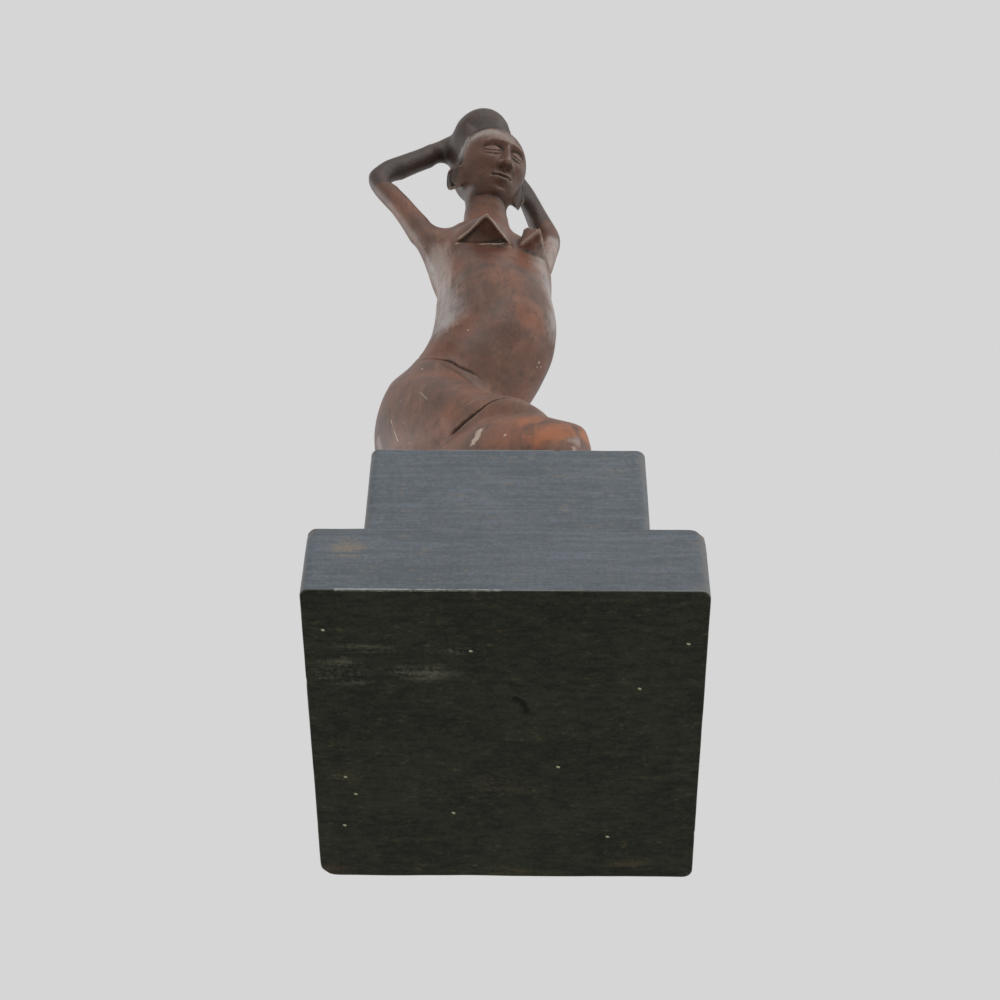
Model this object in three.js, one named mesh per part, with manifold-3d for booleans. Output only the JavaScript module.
// A carved wooden figurine of a kneeling woman on a black, stepped square plinth.
// Millimetres, +Z up. The origin is the centre of the plinth's underside, and the plinth's
// front is -Y. The figure is carved from one piece of wood, with both hands behind her hair.

import * as THREE from "three";
import { mergeVertices } from "three/addons/utils/BufferGeometryUtils.js";
import Module from "manifold-3d";

const wasm = await Module();
wasm.setup();

const { degToRad, clamp } = THREE.MathUtils;

// Plinth: a square slab with a smaller square block on it
const SLAB_WIDTH = 90;
const SLAB_HEIGHT = 22;
const BLOCK_WIDTH = SLAB_WIDTH * 0.75;
const BLOCK_HEIGHT = 46;
const PLINTH_CORNER = 2.2;
const PLINTH_ARRIS = 0.8;
const PLINTH_TOP = SLAB_HEIGHT + BLOCK_HEIGHT;

// The figure is measured from its own origin, which lies FIGURE_PLACE from the middle of the
// plinth's top. A facing is in degrees from the plinth's front (-Y) toward +X. "ahead" runs the
// way that part of her faces, "out" to her right for the right side and to her left for the
// left side, and z up.
const FIGURE_PLACE = new THREE.Vector3(-0.2, 4, 6.3);
const HIP_FACING = 49;
const SHOULDER_FACING = 20;
const HEAD_FACING = 27;

const TRUNK_SIDES = 26;
const LEG_SIDES = 18;
const ARM_SIDES = 12;
const LEFT_AND_RIGHT = [-1, 1];

// The trunk from the seat to the nape, as level cuts. "flat" squares off the front of a cut.
const SPINE_Y = 4;
const TRUNK = [
  { name: "seat", z: 24, x: -12, side: 12, front: 4, back: 16, facing: 49, flat: 0 },
  { name: "groin", z: 44, x: -13, side: 13, front: 4, back: 19, facing: 49, flat: 0 },
  { name: "low belly", z: 64, x: -13, side: 13.4, front: 4.5, back: 20, facing: 49, flat: 0 },
  { name: "under the navel", z: 82, x: -11.2, side: 17.6, front: 15.2, back: 21.5, facing: 45, flat: 0 },
  { name: "navel", z: 98, x: -7.2, side: 18.2, front: 22.9, back: 16, facing: 38, flat: 0 },
  { name: "over the navel", z: 114, x: -6.2, side: 18.2, front: 21.8, back: 12.5, facing: 31, flat: 0 },
  { name: "ribs", z: 128, x: -6.3, side: 18, front: 17, back: 11.5, facing: 20, flat: 0.15 },
  { name: "chest", z: 141, x: -7, side: 18.6, front: 14.5, back: 11, facing: 10, flat: 0.35 },
  { name: "shoulders", z: 156, x: -7.8, side: 17.5, front: 10.5, back: 9.5, facing: 14, flat: 0.2 },
  { name: "collar", z: 164, x: -8.3, side: 13.2, front: 8, back: 8, facing: 20, flat: 0 },
  { name: "neck base", z: 170.5, x: -8.8, side: 8.5, front: 7.2, back: 7.4, facing: 22, flat: 0 },
  { name: "neck", z: 182, x: -9.2, side: 7.2, front: 6.8, back: 7, facing: 25, flat: 0 },
  { name: "nape", z: 197, x: -9.5, side: 7.2, front: 6.5, back: 7, facing: 27, flat: 0 },
];

// The hips, which end above at the carved waist line. It falls from the small of the back to
// the groin.
const HIPS = [
  { name: "seat", z: 20, x: -12, side: 16, front: 5, back: 18, facing: 49, flat: 0 },
  { name: "hip joint", z: 44, x: -12, side: 19.4, front: 9, back: 21.5, facing: 49, flat: 0 },
  { name: "belly fold", z: 66, x: -11.4, side: 20.2, front: 12, back: 22.5, facing: 49, flat: 0 },
  { name: "hip bone", z: 86, x: -9.8, side: 19.6, front: 20, back: 20.4, facing: 49, flat: 0 },
  { name: "over the waist", z: 106, x: -8, side: 18, front: 18, back: 14, facing: 49, flat: 0 },
];
const WAIST_LINE = { back: { ahead: -10, z: 89 }, front: { ahead: 16, z: 54 } };

// Thigh and folded calf as upright cuts across the leg, from the seat to the knee
const LEGS_MIDDLE = new THREE.Vector3(-10.5, 3, 0);
const THIGH = [
  { ahead: -26, out: 8, z: 61, wide: 3, high: 8 },
  { ahead: -23.5, out: 8.3, z: 60.5, wide: 8.2, high: 16 },
  { ahead: -15.5, out: 9.7, z: 61, wide: 11.6, high: 26.5 },
  { ahead: -5, out: 10.2, z: 55, wide: 12.9, high: 27.5 },
  { ahead: 7, out: 10.2, z: 44, wide: 12.8, high: 21 },
  { ahead: 19, out: 10, z: 31.5, wide: 11, high: 13.5 },
  { ahead: 30, out: 10, z: 24, wide: 8.5, high: 8 },
  { ahead: 36, out: 10, z: 19, wide: 4, high: 3 },
];
const CALF = [
  { ahead: -24.5, out: 5.4, z: 2.5, wide: 2.4, high: 9.5 },
  { ahead: -21.8, out: 6.2, z: 6.5, wide: 4.6, high: 15.5 },
  { ahead: -15.5, out: 7.8, z: 9.5, wide: 7.6, high: 20 },
  { ahead: -5, out: 9.8, z: 11, wide: 11, high: 19.5 },
  { ahead: 8, out: 10.3, z: 11, wide: 12.1, high: 21 },
  { ahead: 21, out: 10.4, z: 9.5, wide: 12, high: 22.5 },
  { ahead: 32, out: 10, z: 4.5, wide: 10.7, high: 19.8 },
  { ahead: 41.3, out: 9.6, z: 1, wide: 8, high: 13.8 },
  { ahead: 46.8, out: 9.2, z: -1, wide: 4, high: 10 },
];

// An arm from inside the chest over the elbow to the finger tips behind the hair
const RIGHT_ARM = [
  { x: -16.5, y: 1.3, z: 132, thick: 8.5, wide: 8.5 },
  { x: -22.2, y: -1.6, z: 147, thick: 7, wide: 7 },
  { x: -29.6, y: -2.6, z: 161, thick: 4.5, wide: 4.6 },
  { x: -36.4, y: -3.6, z: 175, thick: 3.7, wide: 3.7 },
  { x: -43.3, y: -4.6, z: 187, thick: 3.7, wide: 3.7 },
  { x: -44.2, y: -5, z: 191.4, thick: 4, wide: 4.1 },
  { x: -38, y: -4.8, z: 198.6, thick: 3.8, wide: 3.9 },
  { x: -29, y: -4, z: 207.6, thick: 3.5, wide: 3.7 },
  { x: -22.8, y: -2.6, z: 215.6, thick: 3, wide: 5.2 },
  { x: -18, y: 1.2, z: 220.8, thick: 2.4, wide: 7.2 },
  { x: -13, y: 3.4, z: 222.2, thick: 1.7, wide: 5.2 },
];
const LEFT_ARM = [
  { x: -1.5, y: 6.7, z: 132, thick: 8.5, wide: 8.5 },
  { x: 3.4, y: 9, z: 147, thick: 6.6, wide: 6.6 },
  { x: 8.2, y: 11.8, z: 161, thick: 4.3, wide: 4.4 },
  { x: 10.6, y: 14.4, z: 175, thick: 3.6, wide: 3.6 },
  { x: 11.8, y: 16.6, z: 186, thick: 3.7, wide: 3.7 },
  { x: 11.2, y: 17, z: 190.6, thick: 4, wide: 4 },
  { x: 8.2, y: 14.2, z: 196, thick: 3.8, wide: 3.9 },
  { x: 4, y: 9.4, z: 203.5, thick: 3.5, wide: 3.6 },
  { x: -0.6, y: 4.6, z: 212, thick: 2.9, wide: 3.7 },
  { x: -3.2, y: 1, z: 220, thick: 2.2, wide: 4.4 },
  { x: -6.4, y: -1, z: 224.5, thick: 1.6, wide: 4.2 },
];

// A breast: a pointed cone with a flat underside. "facing" is that of its foot on the chest.
const BREAST_Z = 139;
const BREAST = { high: 17, under: 0.6, tip: 0.06, bury: 0.35 };
const BREASTS = {
  right: { x: -9.6, y: -10.4, facing: 4, half: 9.8, tipX: -7.9, tipY: -21.2 },
  left: { x: 6.6, y: -6, facing: 46, half: 6.4, tipX: 8.4, tipY: -16.4 },
};

// The head, bowed forward and tilted to her right. Its parts are measured from its middle,
// with "back" behind the face.
const HEAD_MIDDLE = new THREE.Vector3(-8.2, -3, 199.5);
const HEAD_BOW = 22;
const HEAD_TILT = 8;
const SKULL = { side: 11.8, deep: 13, high: 13.8, z: 1.2 };
const JAW = { side: 8.6, deep: 9, high: 9, back: -1.5, z: -6.5 };
const HAIR = [
  { left: 0, back: 4, z: -4, side: 9.6, deep: 10.5 },
  { left: -0.4, back: 4.6, z: 4, side: 11, deep: 11.6 },
  { left: -1.3, back: 4.8, z: 11, side: 11.3, deep: 11.4 },
  { left: -1.9, back: 4.8, z: 16, side: 10.6, deep: 10.4 },
  { left: -2, back: 4.6, z: 20.6, side: 8.4, deep: 8.6 },
  { left: -2.2, back: 4.5, z: 23.7, side: 5.4, deep: 5.6 },
  { left: -2.2, back: 4.5, z: 25, side: 2, deep: 2 },
];
const HAIR_SLANT = 0.2;
const EAR = { out: 11.4, back: 1.5, z: -6.4, high: 6, deep: 3.2, rim: 1.2, thick: 1.1 };
const FACE = {
  brow: { z: 2.6, half: 7.6, reach: 11.6, radius: 1.3 },
  nose: { top: 2.6, tip: -4.2, reach: 12.4, lift: 2.4, wide: 1.9 },
  eye: { out: 4.3, z: -0.2, reach: 10.9, half: 2.5, high: 1.1 },
  lips: { z: -7.4, reach: 10.6, half: 3.1, high: 0.95, gap: 1.5 },
};

function facingAxes(facing) {
  const angle = degToRad(facing);
  return {
    ahead: new THREE.Vector3(Math.sin(angle), -Math.cos(angle), 0),
    left: new THREE.Vector3(Math.cos(angle), Math.sin(angle), 0),
    up: new THREE.Vector3(0, 0, 1),
  };
}

// The value of one column of a table at t from 0 to 1, on a smooth curve through its rows
function between(rows, key, t) {
  const place = clamp(t, 0, 1) * (rows.length - 1);
  const row = Math.min(Math.floor(place), rows.length - 2);
  const f = place - row;
  const start = rows[row][key];
  const end = rows[row + 1][key];
  const startSlope = (end - rows[Math.max(row - 1, 0)][key]) / 2;
  const endSlope = (rows[Math.min(row + 2, rows.length - 1)][key] - start) / 2;
  const blend = f * f * (3 - 2 * f);
  return start + blend * (end - start)
    + f * (1 - f) * ((1 - f) * startSlope - f * endSlope);
}

// Rings at even steps through a table. pointAt(at, angle) gives one point of a ring, where
// at(key) reads the table at that step.
function ringsThrough(rows, stepsPerRow, sides, pointAt) {
  const steps = (rows.length - 1) * stepsPerRow;
  const rings = [];
  for (let step = 0; step <= steps; step += 1) {
    const at = (key) => between(rows, key, step / steps);
    const ring = [];
    for (let side = 0; side < sides; side += 1) {
      ring.push(pointAt(at, (2 * Math.PI * side) / sides, step / steps));
    }
    rings.push(ring);
  }
  return rings;
}

// A closed skin over rings, with a fan at each end
function skin(rings) {
  const sides = rings[0].length;
  const middle = (ring) => ring.reduce((sum, p) => sum.addScaledVector(p, 1 / sides), new THREE.Vector3());
  const points = [...rings.flat(), middle(rings[0]), middle(rings.at(-1))];
  const firstMiddle = points.length - 2;
  const lastMiddle = points.length - 1;
  const lastRing = (rings.length - 1) * sides;
  const faces = [];
  for (let side = 0; side < sides; side += 1) {
    const next = (side + 1) % sides;
    for (let ring = 0; ring < lastRing; ring += sides) {
      faces.push(ring + side, ring + next, ring + sides + next);
      faces.push(ring + side, ring + sides + next, ring + sides + side);
    }
    faces.push(firstMiddle, next, side);
    faces.push(lastMiddle, lastRing + side, lastRing + next);
  }
  const geometry = new THREE.BufferGeometry().setFromPoints(points);
  geometry.setIndex(faces);
  return geometry;
}

// A geometry as a solid for joining and cutting, with its faces turned outward
function solid(geometry) {
  const bare = geometry.clone();
  bare.deleteAttribute("normal");
  bare.deleteAttribute("uv");
  const merged = mergeVertices(bare, 1e-4);
  const vertProperties = new Float32Array(merged.attributes.position.array);
  const triVerts = new Uint32Array(merged.index.array);
  const made = new wasm.Manifold(new wasm.Mesh({ numProp: 3, vertProperties, triVerts }));
  if (made.volume() > 0) {
    return made;
  }
  const turned = triVerts.slice().reverse();
  return new wasm.Manifold(new wasm.Mesh({ numProp: 3, vertProperties, triVerts: turned }));
}

function geometryOf(made) {
  const mesh = made.getMesh();
  const geometry = new THREE.BufferGeometry();
  geometry.setAttribute("position", new THREE.BufferAttribute(new Float32Array(mesh.vertProperties), 3));
  geometry.setIndex(new THREE.BufferAttribute(new Uint32Array(mesh.triVerts), 1));
  return geometry;
}

function ellipsoid(side, deep, high, place, across = 20, rows = 14) {
  const geometry = new THREE.SphereGeometry(1, across, rows);
  geometry.rotateX(Math.PI / 2);
  geometry.scale(side, deep, high);
  return geometry.translate(...place);
}

function levelCuts(levels, stepsPerRow) {
  return skin(ringsThrough(levels, stepsPerRow, TRUNK_SIDES, (at, angle) => {
    const { ahead, left } = facingAxes(at("facing"));
    const forward = Math.sin(angle);
    const sideways = Math.cos(angle);
    const squared = forward > 0 ? 1 - at("flat") : 1;
    const depth = forward > 0 ? at("front") * forward ** squared : at("back") * forward;
    return new THREE.Vector3(at("x"), SPINE_Y, at("z"))
      .addScaledVector(left, at("side") * Math.sign(sideways) * Math.abs(sideways) ** squared)
      .addScaledVector(ahead, depth);
  }));
}

function hips() {
  const { ahead } = facingAxes(HIP_FACING);
  const { back, front } = WAIST_LINE;
  const above = new THREE.BoxGeometry(300, 300, 200);
  above.translate(0, 0, 100);
  above.rotateX(Math.atan2(back.z - front.z, front.ahead - back.ahead));
  above.rotateZ(degToRad(HIP_FACING));
  const pivot = LEGS_MIDDLE.clone().setZ(back.z).addScaledVector(ahead, back.ahead);
  above.translate(...pivot);
  return solid(levelCuts(HIPS, 3)).subtract(solid(above));
}

function legPart(rows, rightSide) {
  const { ahead, left, up } = facingAxes(HIP_FACING);
  return skin(ringsThrough(rows, 2, LEG_SIDES, (at, angle) => LEGS_MIDDLE.clone()
    .addScaledVector(ahead, at("ahead"))
    .addScaledVector(left, -rightSide * (at("out") + at("wide") * Math.cos(angle)))
    .addScaledVector(up, at("z") + at("high") * Math.sin(angle))));
}

// A tube along a curve through the rows, flattened toward the head, with round ends
function arm(rows, rightSide) {
  const { ahead, left } = facingAxes(SHOULDER_FACING);
  const outward = left.clone().multiplyScalar(-rightSide).addScaledVector(ahead, -0.8).normalize();
  const places = rows.map(({ x, y, z }) => new THREE.Vector3(x, y, z));
  const curve = new THREE.CatmullRomCurve3(places, false, "centripetal");
  const steps = (rows.length - 1) * 2;
  const ringAt = (t, along, shrink) => {
    const tangent = curve.getTangent(t);
    const wideWay = new THREE.Vector3().crossVectors(tangent, outward).normalize();
    const thickWay = new THREE.Vector3().crossVectors(wideWay, tangent);
    const ring = [];
    for (let side = 0; side < ARM_SIDES; side += 1) {
      const angle = (2 * Math.PI * side) / ARM_SIDES;
      ring.push(curve.getPoint(t)
        .addScaledVector(tangent, along * between(rows, "thick", t))
        .addScaledVector(wideWay, shrink * between(rows, "wide", t) * Math.cos(angle))
        .addScaledVector(thickWay, shrink * between(rows, "thick", t) * Math.sin(angle)));
    }
    return ring;
  };
  const rings = [];
  for (let step = 0; step <= steps; step += 1) {
    rings.push(ringAt(step / steps, 0, 1));
  }
  const tipAngles = [30, 60, 80].map(degToRad);
  tipAngles.forEach((lift) => rings.push(ringAt(1, Math.sin(lift), Math.cos(lift))));
  tipAngles.forEach((lift) => rings.unshift(ringAt(0, -Math.sin(lift), Math.cos(lift))));
  return skin(rings);
}

// Rings from inside the chest to the point, each with a high top and a flat underside
function breast({ x, y, facing, half, tipX, tipY }) {
  const { left, up } = facingAxes(facing);
  const foot = new THREE.Vector3(x, y, BREAST_Z);
  const tip = new THREE.Vector3(tipX, tipY, BREAST_Z);
  const rows = [{ t: -BREAST.bury }, { t: 0 }, { t: 0.5 }, { t: 1 }];
  return skin(ringsThrough(rows, 3, 18, (at, angle) => {
    const size = BREAST.tip + (1 - BREAST.tip) * Math.min(1, 1 - at("t")) ** 1.15;
    const high = Math.sin(angle) > 0 ? BREAST.high : BREAST.under;
    return foot.clone().lerp(tip, at("t"))
      .addScaledVector(left, size * half * Math.cos(angle))
      .addScaledVector(up, high * size * Math.sin(angle));
  }));
}

// Places a geometry made in the head's own axes: +X to her left, -Y out of the face, +Z up
function onHead(geometry) {
  geometry.rotateX(degToRad(HEAD_BOW));
  geometry.rotateY(degToRad(-HEAD_TILT));
  geometry.rotateZ(degToRad(HEAD_FACING));
  return geometry.translate(...HEAD_MIDDLE);
}

function hair() {
  return skin(ringsThrough(HAIR, 2, 20, (at, angle) => new THREE.Vector3(
    at("left") + at("side") * Math.cos(angle),
    at("back") + at("deep") * Math.sin(angle),
    at("z") - HAIR_SLANT * at("deep") * Math.sin(angle))));
}

// An open C-shaped rim with a hollow in front of a flat back
function ear(rightSide) {
  const rim = new THREE.TorusGeometry(1, EAR.rim / EAR.deep, 6, 16);
  rim.scale(EAR.deep, EAR.high, EAR.thick);
  rim.rotateX(Math.PI / 2);
  rim.rotateZ(Math.PI / 2);
  const shell = ellipsoid(EAR.thick * 0.8, EAR.deep, EAR.high, [-0.6, 0, 0], 10, 8);
  const made = solid(rim).add(solid(shell));
  const geometry = geometryOf(made);
  geometry.rotateZ(degToRad(-35));
  geometry.translate(EAR.out, EAR.back, EAR.z);
  if (rightSide > 0) {
    geometry.scale(-1, 1, 1);
  }
  return geometry;
}

function bar(rows, sides = 10) {
  return skin(ringsThrough(rows, 2, sides, (at, angle) => new THREE.Vector3(
    at("x"),
    at("y") + at("deep") * Math.cos(angle),
    at("z") + at("high") * Math.sin(angle))));
}

function faceParts() {
  const { brow, nose, eye, lips } = FACE;
  const parts = [];
  for (const side of LEFT_AND_RIGHT) {
    parts.push(bar([
      { x: 0, y: -brow.reach, z: brow.z, deep: brow.radius, high: brow.radius * 0.8 },
      { x: side * brow.half * 0.55, y: -brow.reach + 1.2, z: brow.z + 0.9, deep: brow.radius, high: 0.9 },
      { x: side * brow.half, y: -brow.reach + 3.9, z: brow.z - 0.4, deep: 0.9, high: 0.5 },
    ]));
    parts.push(ellipsoid(eye.half, 1.6, eye.high, [side * eye.out, -eye.reach + 0.6, eye.z], 12, 8));
  }
  for (const way of LEFT_AND_RIGHT) {
    const place = [0, -lips.reach, lips.z + way * lips.gap * 0.5];
    parts.push(ellipsoid(lips.half, 1.9, lips.high, place, 14, 8));
  }
  parts.push(skin(ringsThrough([
    { z: nose.top, y: -nose.reach + 1.4, wide: 0.8, deep: 1.2 },
    { z: (nose.top + nose.tip) / 2, y: -nose.reach + 0.5, wide: 1.2, deep: 1.8 },
    { z: nose.tip + 0.8, y: -nose.reach, wide: nose.wide, deep: nose.lift },
    { z: nose.tip - 0.3, y: -nose.reach + 0.6, wide: nose.wide * 0.8, deep: nose.lift * 0.7 },
  ], 2, 10, (at, angle) => new THREE.Vector3(
    at("wide") * Math.cos(angle),
    at("y") + at("deep") * Math.sin(angle),
    at("z")))));
  return parts;
}

function head() {
  const skull = ellipsoid(SKULL.side, SKULL.deep, SKULL.high, [0, 0, SKULL.z]);
  const jaw = ellipsoid(JAW.side, JAW.deep, JAW.high, [0, JAW.back, JAW.z], 16, 12);
  const parts = [jaw, hair(), ...faceParts(), ...LEFT_AND_RIGHT.map(ear)];
  return parts.reduce((made, part) => made.add(solid(onHead(part))), solid(onHead(skull)));
}

function figure() {
  const ground = new THREE.BoxGeometry(200, 200, 100);
  ground.translate(0, 0, -50 - FIGURE_PLACE.z);
  let body = solid(levelCuts(TRUNK, 2)).add(hips()).add(head());
  for (const rightSide of LEFT_AND_RIGHT) {
    body = body.add(solid(legPart(THIGH, rightSide))).add(solid(legPart(CALF, rightSide)));
  }
  for (const part of [arm(RIGHT_ARM, 1), arm(LEFT_ARM, -1), breast(BREASTS.right), breast(BREASTS.left)]) {
    body = body.add(solid(part));
  }
  return geometryOf(body.subtract(solid(ground)));
}

// A square block with rounded upright corners and softened top and bottom edges
function squareBlock(width, height) {
  const half = width / 2 - PLINTH_ARRIS;
  const radius = PLINTH_CORNER - PLINTH_ARRIS;
  const outline = new THREE.Shape();
  [[1, -1], [1, 1], [-1, 1], [-1, -1]].forEach(([x, y], corner) => {
    const start = (corner - 1) * (Math.PI / 2);
    outline.absarc(x * (half - radius), y * (half - radius), radius, start, start + Math.PI / 2);
  });
  const geometry = new THREE.ExtrudeGeometry(outline, {
    depth: height - 2 * PLINTH_ARRIS,
    curveSegments: 3,
    bevelThickness: PLINTH_ARRIS,
    bevelSize: PLINTH_ARRIS,
    bevelSegments: 2,
  });
  return geometry.translate(0, 0, PLINTH_ARRIS);
}

const carvedWood = new THREE.MeshStandardMaterial({ color: 0x6a4638, roughness: 0.45, metalness: 0 });
const blackWood = new THREE.MeshStandardMaterial({ color: 0x22252a, roughness: 0.5, metalness: 0 });

const slab = new THREE.Mesh(squareBlock(SLAB_WIDTH, SLAB_HEIGHT), blackWood);
slab.name = "plinth_slab";

const block = new THREE.Mesh(squareBlock(BLOCK_WIDTH, BLOCK_HEIGHT), blackWood);
block.name = "plinth_block";
block.position.z = SLAB_HEIGHT;

const woman = new THREE.Mesh(figure(), carvedWood);
woman.name = "kneeling_figure";
woman.position.set(FIGURE_PLACE.x, FIGURE_PLACE.y, PLINTH_TOP + FIGURE_PLACE.z);

const figurine = new THREE.Group();
figurine.add(slab, block, woman);

export default figurine;
